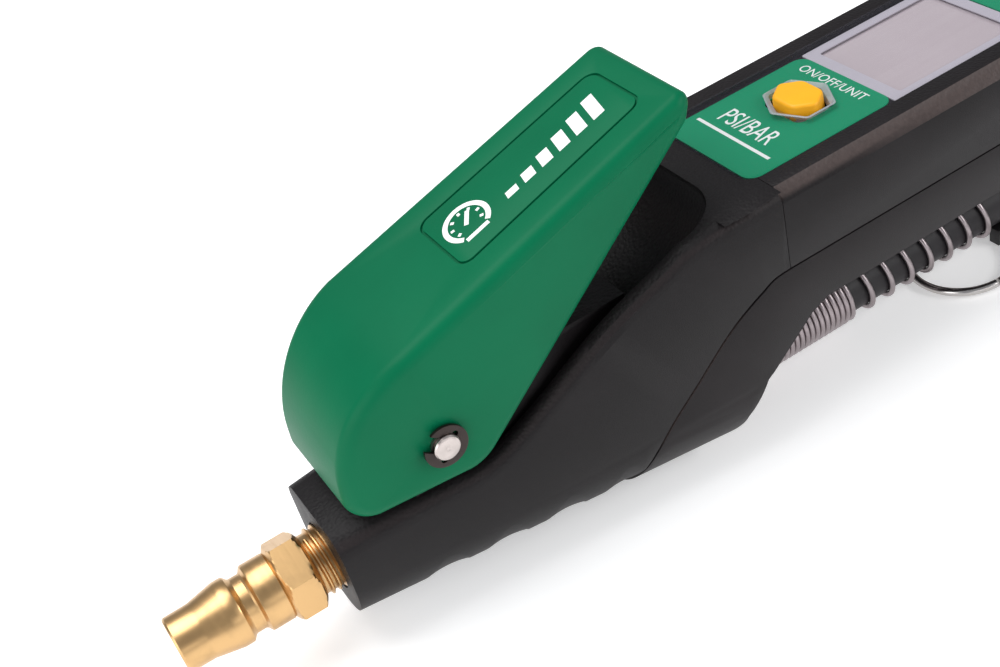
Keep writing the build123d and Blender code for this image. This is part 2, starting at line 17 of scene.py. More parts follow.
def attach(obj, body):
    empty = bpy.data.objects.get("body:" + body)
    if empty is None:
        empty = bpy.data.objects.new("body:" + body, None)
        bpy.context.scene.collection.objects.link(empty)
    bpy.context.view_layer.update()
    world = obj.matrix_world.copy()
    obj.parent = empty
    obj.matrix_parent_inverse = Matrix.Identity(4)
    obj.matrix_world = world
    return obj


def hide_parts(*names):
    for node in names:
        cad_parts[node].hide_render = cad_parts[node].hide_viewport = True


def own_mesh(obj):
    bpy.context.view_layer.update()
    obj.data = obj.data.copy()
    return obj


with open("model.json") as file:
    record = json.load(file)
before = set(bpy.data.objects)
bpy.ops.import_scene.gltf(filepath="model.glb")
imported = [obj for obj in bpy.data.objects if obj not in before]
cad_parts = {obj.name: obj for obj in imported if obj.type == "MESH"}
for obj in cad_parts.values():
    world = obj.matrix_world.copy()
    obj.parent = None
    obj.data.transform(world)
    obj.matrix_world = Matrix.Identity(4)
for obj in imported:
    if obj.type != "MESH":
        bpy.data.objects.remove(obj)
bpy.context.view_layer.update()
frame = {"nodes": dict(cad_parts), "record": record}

NODES = frame["nodes"]

# %% [markdown]
# ## Tool coordinates
#
# A maker measures this tool in millimetres from the body's front face, along the air plug's axis.
# One matrix turns those numbers into the frame's metres, so every size below can be read as it
# would be on a drawing: X runs back along the tool, Y across it and Z up.

# %% Tool coordinates
FRAME_X, FRAME_Z = 72.75, 18.4    # the frame's origin lies this far behind and below the drawing's
TOOL = Matrix.Diagonal((0.001, 0.001, 0.001, 1)) @ Matrix.Translation((-FRAME_X, 0, FRAME_Z))


def at(x, y, z):
    """A point of the drawing, in the frame's metres."""
    return TOOL @ Vector((x, y, z))


print("front face centre sits at", [round(v, 4) for v in at(0, 0, 0)])

# %% [markdown]
# ## Camera
#
# The tool is seen from in front and above, from close by, with a lens a little longer than
# normal, so the plug is near and the gauge runs out of the frame. The camera's three axes are
# set directly, because they were solved together and an aim point would lose the slight roll.

# %% Camera
camera_data = bpy.data.cameras.new("camera")
camera_data.lens = 52.54
camera_data.sensor_width = 36
camera_data.clip_start = 0.01
camera = bpy.data.objects.new("camera", camera_data)
right, up, back = (0.8337, -0.5066, -0.22), (0.4738, 0.4514, 0.7562), (-0.2837, -0.7346, 0.6163)
eye = at(-29.66, -189.31, 183.98)
camera.matrix_world = Matrix([[right[i], up[i], back[i], eye[i]] for i in range(3)] + [[0, 0, 0, 1]])
bpy.context.scene.collection.objects.link(camera)
bpy.context.scene.camera = camera
print("camera at", [round(v, 3) for v in eye])

# %% [markdown]
# ## Shader sums
#
# Finishes are mixes of noises and masks. Written as nodes, one sum takes five lines, so a small
# class wraps a node's output and gives it Python's operators. Each expression adds its Math nodes.
# A Math node would turn a colour grey, so colours are mixed with Mix nodes only.

# %% Signals and finishes
class Signal:
    """A number or vector that varies over the surface."""

    def __init__(self, finish, socket):
        self.finish = finish
        self.socket = socket

    def sum(self, operation, *values):
        return self.finish.node("ShaderNodeMath", {"operation": operation}, dict(enumerate(values)))

    def __add__(self, other): return self.sum("ADD", self, other)
    def __radd__(self, other): return self.sum("ADD", other, self)
    def __sub__(self, other): return self.sum("SUBTRACT", self, other)
    def __rsub__(self, other): return self.sum("SUBTRACT", other, self)
    def __mul__(self, other): return self.sum("MULTIPLY", self, other)

    def ramp(self, low, high):
        """0 below low, 1 above high, and a soft step between."""
        settings = {"interpolation_type": "SMOOTHSTEP"}
        return self.finish.node("ShaderNodeMapRange", settings, {0: self, 1: low, 2: high, 3: 0.0, 4: 1.0})


def linear(colour):
    """A display colour from 0 to 255, as the linear light that shaders use."""
    return [v / 3294.6 if v <= 10 else ((v / 255 + 0.055) / 1.055) ** 2.4 for v in colour] + [1.0]


class Finish:
    """A material whose nodes are made by one method."""

    def __init__(self, name):
        self.material = bpy.data.materials.new(name)
        self.material.use_nodes = True
        self.tree = self.material.node_tree
        self.tree.nodes.clear()
        self.coordinates = self.tree.nodes.new("ShaderNodeTexCoord")
        self.place = Signal(self, self.coordinates.outputs["Object"])
        self.facing = Signal(self, self.coordinates.outputs["Normal"])

    def node(self, kind, settings=None, sockets=None, out=0):
        made = self.tree.nodes.new(kind)
        for key, value in (settings or {}).items():
            if key == "stops":
                while len(made.color_ramp.elements) < len(value):
                    made.color_ramp.elements.new(0.5)
                for stop, (where, colour) in zip(made.color_ramp.elements, value):
                    stop.position = where
                    stop.color = colour
            else:
                setattr(made, key, value)
        for key, value in (sockets or {}).items():
            if isinstance(value, Signal):
                self.tree.links.new(value.socket, made.inputs[key])
            else:
                made.inputs[key].default_value = value
        return Signal(self, made.outputs[out]) if made.outputs else None

    def noise(self, size, detail=3.0, stretch=(1, 1, 1), rough=0.5):
        """Cloudy noise whose blobs are about size millimetres across."""
        place = self.node("ShaderNodeMapping", {}, {"Vector": self.place, "Scale": stretch})
        return self.node("ShaderNodeTexNoise", {},
                         {"Vector": place, "Scale": 1000 / size, "Detail": detail, "Roughness": rough})

    def cells(self, size, feature="F1", smooth=0.6):
        """Rounded cells about size millimetres across, 0 at their middles."""
        settings = {"feature": feature}
        sockets = {"Vector": self.place, "Scale": 1000 / size}
        if feature == "SMOOTH_F1":
            sockets["Smoothness"] = smooth
        return self.node("ShaderNodeTexVoronoi", settings, sockets)

    def axis(self, vector, name):
        """One of a vector's three numbers."""
        return self.node("ShaderNodeSeparateXYZ", {}, {0: vector}, out=name)

    def blend(self, factor, a, b):
        """Colour a where the factor is 0, and b where it is 1."""
        settings = {"data_type": "RGBA", "clamp_factor": True}
        return self.node("ShaderNodeMix", settings, {0: factor, 6: a, 7: b}, out=2)

    def bump(self, height, depth, strength=1.0, normal=None):
        """Relief: height from 0 to 1 stands for depth in millimetres."""
        sockets = {"Height": height, "Distance": depth / 1000, "Strength": strength}
        if normal:
            sockets["Normal"] = normal
        return self.node("ShaderNodeBump", {}, sockets)

    def surface(self, **sockets):
        """Ends the material in a Principled surface; names use _ for spaces."""
        named = {key.replace("_", " "): value for key, value in sockets.items()}
        shader = self.node("ShaderNodeBsdfPrincipled", {}, named)
        self.node("ShaderNodeOutputMaterial", {}, {"Surface": shader})
        return self.material

# %% [markdown]
# ## Studio
#
# A product on white is lit by large soft sources, so plastic shows broad sheens and no hard spots.
# One big panel hangs over the nose of the tool and a weaker one faces it. Behind and to the near
# side, a panel catches the sloped edges of the gauge, and a strip lifts the side. The floor glows
# a little, so that it stays white under the tool's soft shadow.

# %% Studio
def area_light(name, place, target, size, power, shape="RECTANGLE", tall=None):
    """A soft panel that faces a target; places are in drawing millimetres."""
    data = bpy.data.lights.new(name, "AREA")
    data.shape = shape
    data.size = size
    if tall:
        data.size_y = tall
    data.energy = power
    panel = bpy.data.objects.new(name, data)
    place, target = at(*place), at(*target)
    turn = (place - target).to_track_quat("Z", "Y").to_matrix().to_4x4()
    panel.matrix_world = Matrix.Translation(place) @ turn
    bpy.context.scene.collection.objects.link(panel)


area_light("key_panel", (-60, 120, 560), (60, 0, 0), 0.50, 2.9, tall=0.42)
area_light("front_panel", (-420, -120, 160), (30, 0, 10), 0.40, 0.9, tall=0.30)
area_light("rail_panel", (400, -330, 290), (120, -18, 36), 0.30, 0.9, tall=0.12)
area_light("near_strip", (140, -460, 120), (60, -20, 10), 0.60, 0.3, tall=0.12)

world = bpy.data.worlds.new("studio")
bpy.context.scene.world = world
world.use_nodes = True
world.node_tree.nodes["Background"].inputs["Color"].default_value = (0.93, 0.95, 1.0, 1)
world.node_tree.nodes["Background"].inputs["Strength"].default_value = 0.37
bpy.context.scene.view_settings.view_transform = "Standard"

paper = Finish("studio_paper")
fibre = paper.noise(6.0, 4)
tint = paper.blend(fibre, linear((250, 250, 250)), linear((253, 253, 253)))
paper.surface(Base_Color=tint, Roughness=0.9, Emission_Color=linear((255, 255, 255)),
              Emission_Strength=0.34)

sweep = bmesh.new()
bmesh.ops.create_grid(sweep, x_segments=24, y_segments=24, size=1.6)
for v in sweep.verts:
    v.co.z = -0.0002
floor_mesh = bpy.data.meshes.new("studio_floor")
sweep.to_mesh(floor_mesh)
floor_mesh.materials.append(paper.material)
studio_floor = bpy.data.objects.new("studio_floor", floor_mesh)
bpy.context.scene.collection.objects.link(studio_floor)
print("studio: 4 panels over a pale floor")

# %% [markdown]
# ## Making a piece
#
# Every new piece is drawn in a bmesh in drawing millimetres, then moved into the frame in one go,
# so its object stays at the origin as a CAD node's does. Its walls are turned outwards, and faces
# that meet at less than thirty degrees are shaded as one smooth skin.

# %% Making a piece
def finish_mesh(name, bm, material, sharp=30, turn_out=True):
    """A mesh object from a bmesh that is already in the frame's metres."""
    if turn_out:
        bmesh.ops.recalc_face_normals(bm, faces=bm.faces)
    mesh = bpy.data.meshes.new(name)
    bm.to_mesh(mesh)
    bm.free()
    mesh.materials.append(material)
    mesh.shade_smooth()
    mesh.set_sharp_from_angle(angle=radians(sharp))
    piece = bpy.data.objects.new(name, mesh)
    bpy.context.scene.collection.objects.link(piece)
    return piece


def make(name, bm, material, body="housing", replaces=(), sharp=30):
    """Places a drawing-millimetre bmesh in the frame and sets it on its body."""
    bmesh.ops.transform(bm, matrix=TOOL, verts=bm.verts)
    piece = finish_mesh(name, bm, material, sharp)
    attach(piece, body)
    if replaces:
        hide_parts(*replaces)
    print(name, len(piece.data.polygons), "faces")
    return piece


def dress(node, material):
    """A CAD node whose shape is right keeps it, and gets a better material."""
    slots = NODES[node].data.materials
    slots.clear()
    slots.append(material)


# %% [markdown]
# ## Eased edges
#
# A moulding has no razor edges: the tool's corners have a small radius, and that radius catches
# the light. The CAD shells are copied, their triangles merged back into faces, and a bevel is run
# along every sharp edge. Bevelling the copy keeps the exact shape everywhere else.

# %% Eased copies of CAD nodes
SPLIT = at(92.3, 0, 0).x
SPLIT_REACH, SPLIT_INSIDE = 0.00025, 0.0150
MERGE = 2e-6


def on_split(edge):
    """Whether an edge lies on the tight joint across the deck, which has no visible rounding."""
    return all(abs(v.co.x - SPLIT) < SPLIT_REACH and abs(v.co.y) > SPLIT_INSIDE for v in edge.verts)


def folded(bm, degrees):
    """Edges whose two faces turn by more than an angle."""
    return [e for e in bm.edges if e.is_manifold and e.calc_face_angle(0) > radians(degrees)]


def eased(name, node, material, width, body="housing",
          shape=None, corner=28, segments=2, soft=None):
    """A copy of a CAD node with its sharp edges rounded by width millimetres, and soft ones by more."""
    bm = bmesh.new()
    bm.from_mesh(NODES[node].data)
    bmesh.ops.remove_doubles(bm, verts=bm.verts, dist=MERGE)
    bmesh.ops.dissolve_limit(bm, angle_limit=radians(0.6), verts=bm.verts, edges=bm.edges)
    if shape:
        shape(bm)
    if soft:
        chosen, wide = soft
        rim = [e for e in folded(bm, 20) if chosen(e)]
        bmesh.ops.bevel(bm, geom=rim, offset=wide / 1000, offset_type="OFFSET", segments=4, affect="EDGES",
                        profile=0.5, material=-1, clamp_overlap=True)
        print(name, len(rim), "rim edges made soft")
    sharp = [e for e in folded(bm, corner) if not on_split(e)]
    bmesh.ops.bevel(bm, geom=sharp, offset=width / 1000, offset_type="OFFSET", segments=segments,
                    affect="EDGES", profile=0.5, material=-1, clamp_overlap=True)
    bmesh.ops.triangulate(bm, faces=[f for f in bm.faces if len(f.verts) > 4])
    piece = finish_mesh(name, bm, material, 32, turn_out=False)
    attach(piece, body)
    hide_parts(node)
    print(name, len(sharp), "edges eased,", len(piece.data.polygons), "faces")

# %% [markdown]
# ## The hose
#
# The hose is a 10.5 mm rubber tube, straight under the tool, then one wide bend on the surface.
# Its line is smooth, so its few given points are the control points of a NURBS curve, and
# the curve's own round bevel is the rubber.

# %% Rubber for the hose and seals
def rubber(name, colour):
    """Black rubber: dull, faintly mottled, with a fine moulded skin."""
    f = Finish(name)
    bloom = f.noise(9, 3)
    skin = f.noise(0.22, 2)
    tint = f.blend(bloom.ramp(0.35, 0.75), linear(colour), linear([v * 1.25 + 3 for v in colour]))
    worn = bloom * 0.16 + skin * 0.08 + 0.40
    return f.surface(Base_Color=tint, Roughness=worn, Normal=f.bump(skin, 0.03, 0.5),
                     Specular_IOR_Level=0.45)


hose_rubber = rubber("hose_rubber", (21, 17, 21))
seal_rubber = rubber("seal_rubber", (16, 15, 16))

# %% The hose on its route
HOSE_R, HOSE_Z = 5.25, -9.8
LYING_Z = -18.4 + HOSE_R
CHUCK = (142.4, -117.0, -10.9)
ROUTE = [(79, 0, HOSE_Z), (146, 0, HOSE_Z), (191, 0, HOSE_Z), (225.3, -34.2, -12.3),
         (225.3, -82.8, LYING_Z), (191, -117, -10.9), CHUCK]


def hose_curve(name, bevel):
    """A curve through the route's points, with a round section of the given radius."""
    data = bpy.data.curves.new(name, "CURVE")
    data.dimensions = "3D"
    spline = data.splines.new("NURBS")
    spline.points.add(len(ROUTE) - 1)
    for point, place in zip(spline.points, ROUTE):
        point.co = (*at(*place), 1)
    spline.order_u = 3
    spline.use_endpoint_u = True
    spline.resolution_u = 24
    data.bevel_depth = bevel / 1000
    data.bevel_resolution = 9
    data.use_fill_caps = True
    piece = bpy.data.objects.new(name, data)
    bpy.context.scene.collection.objects.link(piece)
    return piece


hose = hose_curve("rubber_hose", HOSE_R)
hose.data.materials.append(hose_rubber)
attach(hose, "housing")
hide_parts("hose")
print("hose points", len(ROUTE))

# %% [markdown]
# ## Metal finishes
#
# Turned brass shows fine rings round its axis, drawn wire shows lines along it, and plated steel
# is almost even. All three are one function: a metal whose roughness and relief come from a noise
# that is stretched into rings, and whose colour deepens a little where grease gathers.

# %% Metals
def metal(name, colour, roughness, ring=(1, 1, 1), ring_size=0.25, depth=0.01, dull=0.12, metallic=1.0):
    """A metal with fine tool marks; ring squeezes the noise so it only varies along that axis."""
    f = Finish(name)
    marks = f.noise(ring_size, 2, ring)
    stain = f.noise(5, 4)
    tint = f.blend(stain.ramp(0.45, 0.8) * 0.55, linear(colour), linear([v * 0.80 for v in colour]))
    worn = marks * 0.14 + stain * dull + (roughness - 0.07 - dull / 2)
    return f.surface(Base_Color=tint, Roughness=worn, Metallic=metallic, Normal=f.bump(marks, depth, 0.6))


AXIAL = (1, 0.02, 0.02)
UPRIGHT = (0.02, 0.02, 1)
METALS = {
    "plug_brass": metal("plug_brass", (206, 168, 118), 0.33, AXIAL, 0.35, 0.008, 0.12),
    "valve_brass": metal("valve_brass", (214, 172, 108), 0.30, UPRIGHT, 0.30),
    "fitting_brass": metal("fitting_brass", (214, 172, 108), 0.30, AXIAL, 0.30),
    "zinc_steel": metal("zinc_steel", (176, 176, 180), 0.34),
    "stainless": metal("stainless", (196, 186, 182), 0.30, (0.05, 1, 0.05), 0.4),
    "spring_wire": metal("spring_wire", (168, 158, 160), 0.36, (1, 1, 1), 0.6, 0.01, 0.16),
    "black_steel": metal("black_steel", (58, 50, 48), 0.42, (1, 1, 1), 0.5, 0.01, 0.12, 0.8),
    "block_alloy": metal("block_alloy", (186, 186, 188), 0.42, (1, 1, 1), 0.8, 0.03, 0.2),
    "nickel": metal("nickel", (200, 196, 194), 0.22, (1, 1, 1), 1.2, 0.004, 0.10),
    "chuck_chrome": metal("chuck_chrome", (205, 205, 208), 0.16, AXIAL, 0.5, 0.004, 0.08),
}
print(len(METALS), "metals")

# %% [markdown]
# ## Moulded plastics
#
# The black shells have a coarse spark-eroded grain on every surface that faces up, and a finer
# satin on the sides. The split follows the way the surface faces, so one material does both: a
# mask from the normal's height chooses between rounded cells and a fine noise. A second mask
# finds the sloped edges between top and side, and paints a paler sheen on them as a highlight.

# %% Plastics
GRAIN_DEPTH, GRAIN_SIZE = 0.11, 0.62
PALER = 14


def grained(name, colour, roughness=0.46, painted_sheen_colour=(74, 64, 62)):
    """Black moulding: coarse grain on top, satin at the sides, and a painted paler sheen on sloped edges."""
    f = Finish(name)
    height = f.axis(f.facing, "Z")
    up = height.ramp(0.22, 0.5)
    # Painted sheen mask: the sloped faces between top and side, which get a painted paler highlight.
    painted_sheen_mask = height.ramp(0.45, 0.6) * (1 - height.ramp(0.70, 0.84))
    coarse = f.cells(GRAIN_SIZE, "SMOOTH_F1", 0.5)
    breakup = f.noise(0.9, 3)
    fine = f.noise(0.2, 2)
    scuff = f.noise(14, 5)
    grain = f.bump((1 - coarse) * up * 0.8 + breakup * up * 0.6 + fine * (1 - up) * 0.4, GRAIN_DEPTH, 0.9)
    worn_patches = scuff.ramp(0.4, 0.8) * 0.5 + coarse * up * 0.4
    black = f.blend(worn_patches, linear(colour), linear([v + PALER for v in colour]))
    # Painted highlight: the sloped faces are blended towards the paler sheen colour, broken up by noise.
    tint = f.blend(painted_sheen_mask * (0.55 + breakup * 0.6), black, linear(painted_sheen_colour))
    worn = roughness + scuff * 0.10 - 0.05 + fine * 0.06 + up * 0.03
    return f.surface(Base_Color=tint, Roughness=worn, Normal=grain, Specular_IOR_Level=0.24)


def smooth_plastic(name, colour, roughness, orange_peel=0.02, size=1.2, lift=1.08, gloss=0.4):
    """A coloured moulding: even, with a faint peel that breaks up its sheen."""
    f = Finish(name)
    peel = f.noise(size, 2)
    fine = f.noise(0.3, 2)
    cloud = f.noise(22, 4)
    tint = f.blend(cloud.ramp(0.3, 0.75), linear(colour), linear([min(255, v * lift + 1) for v in colour]))
    worn = roughness + cloud * 0.08 - 0.04 + fine * 0.05
    relief = f.bump(peel * 0.6 + fine * 0.4, orange_peel, 0.7)
    return f.surface(Base_Color=tint, Roughness=worn, Normal=relief, Specular_IOR_Level=gloss)


grip_plastic = grained("grip_plastic", (14, 10, 12), painted_sheen_colour=(34, 28, 29))
cover_plastic = grained("cover_plastic", (17, 13, 15))
shell_plastic = grained("shell_plastic", (20, 15, 17), 0.44)
door_plastic = grained("door_plastic", (22, 19, 21), 0.48)
lever_green = smooth_plastic("lever_green", (0, 98, 64), 0.40, 0.03, 0.8, 1.05, 0.10)
button_yellow = smooth_plastic("button_yellow", (250, 168, 20), 0.42, 0.02, 0.6)
board_green = smooth_plastic("board_green", (18, 78, 52), 0.35)
guide_white = smooth_plastic("guide_white", (228, 228, 226), 0.30)
tray_black = smooth_plastic("tray_black", (22, 20, 22), 0.45, 0.03, 0.5)
cell_wrap = smooth_plastic("cell_wrap", (64, 66, 72), 0.28)
print("plastics made")

# %% [markdown]
# ## Shells
#
# The grip, gauge cover and lower shell keep the exact CAD form and get eased corners. The well
# behind the tower gets a softer rim, and the tight joint across the deck is left as it is.

# %% The black shells
WELL_FRONT, WELL_BACK = 44, 86.5
WELL_HALF = 17
WELL_LOW, WELL_RISE = 18.5, 0.47    # a line between floor and rim: its height in front, and its rise
RIM_LOW = 17


def above_floor(v):
    """How far a corner of the grip is above the line between the well's floor and its rim."""
    x, z = v.co.x * 1000 + FRAME_X, v.co.z * 1000 - FRAME_Z
    return z - (WELL_LOW + (x - WELL_FRONT) * WELL_RISE)


def well_rim(edge):
    """The convex rim of the well between the rails, behind the tower."""
    xs = [v.co.x * 1000 + FRAME_X for v in edge.verts]
    zs = [v.co.z * 1000 - FRAME_Z for v in edge.verts]
    near_middle = min(abs(v.co.y) * 1000 for v in edge.verts) < WELL_HALF
    inside = min(xs) > WELL_FRONT and max(xs) < WELL_BACK and min(zs) > RIM_LOW and near_middle
    return edge.is_convex and inside and min(above_floor(v) for v in edge.verts) > 0


eased("grip_shell", "front_body", grip_plastic, 0.30, soft=(well_rim, 1.1))
eased("gauge_cover", "display_cover", cover_plastic, 0.30)
eased("lower_shell_skin", "lower_shell", shell_plastic, 0.30)
eased("battery_hatch", "battery_door", door_plastic, 0.25)
eased("hose_saddle", "hose_clip", tray_black, 0.30)

# %% [markdown]
# ## Squeeze lever
#
# The lever is a green shell that narrows by a tenth towards its tail and by a fifth round its
# nose. The CAD slab is straight, so the copy's vertices are drawn in towards the middle. That
# keeps its rounded rim, the fine groove round the top panel and the hollow underneath.

# %% The lever
TAIL_TAPER, TAIL_FROM, TAIL_RUN = 0.104, 27, 55
NOSE_TAPER, NOSE_FROM, NOSE_RUN = 0.20, 23, 19
TIP_FROM, TIP_RUN = 64, 18
TIP_LONGER, TIP_HIGHER = 0.0014, 0.00042


def narrow_tail(bm):
    """Draws the lever's sides in towards its tail and round its nose, and lengthens the tail a little."""
    for v in bm.verts:
        x = v.co.x * 1000 + FRAME_X
        tail = max(0.0, min(1.0, (x - TAIL_FROM) / TAIL_RUN))
        nose = max(0.0, min(1.0, (NOSE_FROM - x) / NOSE_RUN))
        v.co.y *= (1 - TAIL_TAPER * tail) * (1 - NOSE_TAPER * nose ** 1.4)
        tip = max(0.0, (x - TIP_FROM) / TIP_RUN)
        v.co.x += TIP_LONGER * tip
        v.co.z += TIP_HIGHER * tip


eased("squeeze_lever", "lever", lever_green, 0.22, body="lever",
      shape=narrow_tail)

# %% [markdown]
# ## Turned and wound parts
#
# Plug, pin and ferrules come off a lathe, so each is a profile spun about an axis. Threads and
# coils are the same operation with a small step along the axis for each step of the turn.

# %% Lathe helpers
def across_axis(axis):
    """The direction in which a profile's radius points before it is spun."""
    return Vector((0, 0, 1)) if axis != "z" else Vector((1, 0, 0))


def spun(bm, profile, axis="x", centre=(0, 0, 0), steps=96, closed=True):
    """Spins (distance, radius) points about an axis; a radius of 0 closes on the axis."""
    direction = {"x": Vector((1, 0, 0)), "y": Vector((0, 1, 0)), "z": Vector((0, 0, 1))}[axis]
    out = across_axis(axis)
    centre = Vector(centre)
    verts = [bm.verts.new(centre + direction * a + out * r) for a, r in profile]
    pairs = list(zip(verts, verts[1:])) + ([(verts[-1], verts[0])] if closed else [])
    edges = [bm.edges.new(pair) for pair in pairs]
    bmesh.ops.spin(bm, geom=verts + edges, cent=centre, axis=direction, angle=2 * pi,
                   steps=steps, use_merge=True)
    bmesh.ops.remove_doubles(bm, verts=bm.verts, dist=1e-5)


def wound(bm, section, centre, turns, pitch, steps=32, axis=(1, 0, 0)):
    """Sweeps a closed section round an axis while it advances, and caps its ends."""
    verts = [bm.verts.new(p) for p in section]
    edges = [bm.edges.new(pair) for pair in zip(verts, verts[1:] + verts[:1])]
    count = round(turns * steps)
    step = Vector(axis) * (pitch * turns / count)
    bmesh.ops.spin(bm, geom=verts + edges, cent=centre, axis=axis, angle=2 * pi * turns, steps=count,
                   dvec=step, use_merge=False)
    bmesh.ops.holes_fill(bm, edges=[e for e in bm.edges if e.is_boundary], sides=0)


def round_section(x, y, z, r, sides=10, lean=(1, 0, 0), rise=(0, 0, 1)):
    """Points of a small circle, for wire."""
    lean, rise, middle = Vector(lean), Vector(rise), Vector((x, y, z))
    turns = [2 * pi * k / sides for k in range(sides)]
    return [middle + lean * r * cos(a) + rise * r * sin(a) for a in turns]


# %% [markdown]
# ## Air-line plug
#
# The plug is one brass turning: a bored tip, a cone and a locking groove for the coupler, a
# collar, a 14 mm hexagon and a pipe thread. The hexagon is made from the lathe shape itself. Each
# point of that band is pulled in to the hexagon's flat, where the flat lies inside the chamfer.

# %% The plug
HEX_FLAT = 7.0
TIP = -30.5


def hex_radius(angle):
    """Distance from the axis to a hexagon with flats towards plus and minus Y."""
    fold = (angle + pi / 6) % (pi / 3) - pi / 6
    return HEX_FLAT / cos(fold)


bm = bmesh.new()
chamfer = [(-10.15, 6.35), (-9.9, 6.8), (-9.6, 7.35), (-9.35, 7.8), (-9.1, 8.1), (-8.7, 8.2), (-5.2, 8.2),
           (-4.8, 8.1), (-4.5, 7.7), (-4.2, 7.2), (-3.9, 6.75), (-3.65, 6.3)]
profile = [(TIP + 0.5, 4.15), (TIP + 0.12, 4.4), (TIP, 4.75), (TIP + 0.1, 5.1), (TIP + 0.45, 5.35),
           (-25.4, 5.4), (-25.0, 5.5), (-20.6, 6.34), (-20.2, 6.42), (-18.5, 6.42), (-18.2, 6.3),
           (-17.6, 5.6), (-17.3, 5.42), (-15.6, 5.42), (-15.25, 5.6), (-14.75, 6.4),
           (-14.4, 6.53), (-10.4, 6.53)]
profile += chamfer
profile += [(-3.5, 5.9), (-3.2, 5.82), (4.0, 5.82), (4.0, 3.4), (TIP + 5.0, 3.4), (TIP + 4.0, 4.1)]
spun(bm, profile)
for v in bm.verts:
    r = hypot(v.co.y, v.co.z)
    if -10.2 < v.co.x < -3.6 and r > 6.2:
        flat = hex_radius(atan2(v.co.z, v.co.y))
        v.co.yz = Vector((v.co.y, v.co.z)) * (min(r, flat) / r)
thread = [Vector((x, 0, r)) for x, r in ((-3.35, 5.7), (-2.95, 6.45), (-2.72, 6.45), (-2.3, 5.7))]
wound(bm, thread, (0, 0, 0), 4.0, 1.337, 64)
make("air_line_plug", bm, METALS["plug_brass"], replaces=["inlet_plug"], sharp=24)

# %% [markdown]
# ## Spring guard
#
# A wire coil keeps the hose from kinking where it leaves the tool. Its turns touch at first, then
# open out. Both lengths are one round section wound about the hose: first with a pitch just over
# the wire's thickness, then with four times that.

# %% The coil
WIRE_R = 0.6
COIL_R = HOSE_R + 0.05 + WIRE_R
COIL_START = 79.2
CLOSE_TURNS, CLOSE_PITCH = 28.25, 1.31
OPEN_TURNS, OPEN_PITCH = 7.5, 5.32
bm = bmesh.new()
middle = (COIL_START, 0, HOSE_Z)
wound(bm, round_section(COIL_START, 0, HOSE_Z + COIL_R, WIRE_R), middle, CLOSE_TURNS, CLOSE_PITCH, 40)
open_start = COIL_START + CLOSE_TURNS * CLOSE_PITCH
turned_back = Matrix.Rotation(2 * pi * (CLOSE_TURNS % 1), 3, "X")
section = [Vector((p.x, 0, HOSE_Z)) + turned_back @ Vector((0, p.y, p.z - HOSE_Z))
           for p in round_section(open_start, 0, HOSE_Z + COIL_R, WIRE_R)]
wound(bm, section, middle, OPEN_TURNS, OPEN_PITCH, 40)
make("spring_coil", bm, METALS["spring_wire"], replaces=["spring_guard"], sharp=60)

# %% [markdown]
# ## Valve spring
#
# The spring under the poppet is the one piece that shortens. Its coil is wound upright, and the
# piece gets a mesh of its own.

# %% The valve spring
VALVE_X = 42.0
VALVE_SPRING_FOOT = -8.52
VALVE_SPRING_R, VALVE_WIRE_R = 2.75, 0.36
bm = bmesh.new()
foot = round_section(VALVE_X + VALVE_SPRING_R, 0, VALVE_SPRING_FOOT + VALVE_WIRE_R, VALVE_WIRE_R)
wound(bm, foot, (VALVE_X, 0, 0), 3.08, 1.2, 32, (0, 0, 1))
valve_coil = make("valve_coil", bm, METALS["spring_wire"], replaces=["valve_spring"],
                  sharp=60)
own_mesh(valve_coil)

# %% [markdown]
# ## Pin, clips and ring
#
# The lever turns on a plain steel pin. Its ends are domed a little and carry the lathe's centre
# mark, and a black clip sits in a groove at each end. The hanging ring is bent wire, so it has a
# butt joint instead of being a perfect torus.

# %% The lever pin
bm = bmesh.new()
end = [(17.2, 0.0), (17.12, 0.35), (17.2, 0.55), (17.22, 1.9), (17.05, 2.25), (16.75, 2.45), (16.52, 2.45),
       (16.5, 1.85), (15.8, 1.85), (15.78, 2.45)]
profile = end + [(-a, r) for a, r in reversed(end)]
spun(bm, profile, "y", (22.5, 0, 23.4), 48, closed=False)
make("pivot_pin", bm, METALS["stainless"], replaces=["lever_pin"])
eased("pivot_clips", "pin_clips", METALS["black_steel"], 0.10)

# %% The hanging ring
RING_R, RING_WIRE = 11.3, 0.9
lean = atan2(1.35, 22.6)
bm = bmesh.new()
wound(bm, round_section(RING_R, 0, 0, RING_WIRE, 14), (0, 0, 0), 0.992, 0, 120, (0, 0, 1))
bmesh.ops.rotate(bm, verts=bm.verts, cent=(0, 0, 0), matrix=Matrix.Rotation(radians(-96), 3, "Z"))
bmesh.ops.translate(bm, verts=bm.verts, vec=(-RING_R, 0, 0))
bmesh.ops.rotate(bm, verts=bm.verts, cent=(0, 0, 0), matrix=Matrix.Rotation(-lean, 3, "Y"))
bmesh.ops.translate(bm, verts=bm.verts, vec=(148.3 + RING_R, -3.6, -16.1))
make("wire_ring", bm, METALS["nickel"], "ring", ["hanging_ring"], sharp=60)

# %% [markdown]
# ## Display
#
# Under a clear hard-coated lens lie a printed film and a pale frame round the display's glass.
# The lens is a thin slab with softened corners, mostly see-through, that mirrors the room a
# little. A button comes up through both in a six-sided recess.

# %% Display finishes
def printed(name, colour, gloss=0.3):
    """Screen-printed ink: even, with the mesh's faint dots."""
    f = Finish(name)
    dots = f.cells(0.18)
    cloud = f.noise(9, 3)
    paler = linear([min(255, v * 1.12 + 3) for v in colour])
    tint = f.blend(dots * 0.25 + cloud * 0.25, linear(colour), paler)
    return f.surface(Base_Color=tint, Roughness=cloud * 0.06 + 0.30, Normal=f.bump(dots, 0.004, 0.4),
                     Specular_IOR_Level=gloss)


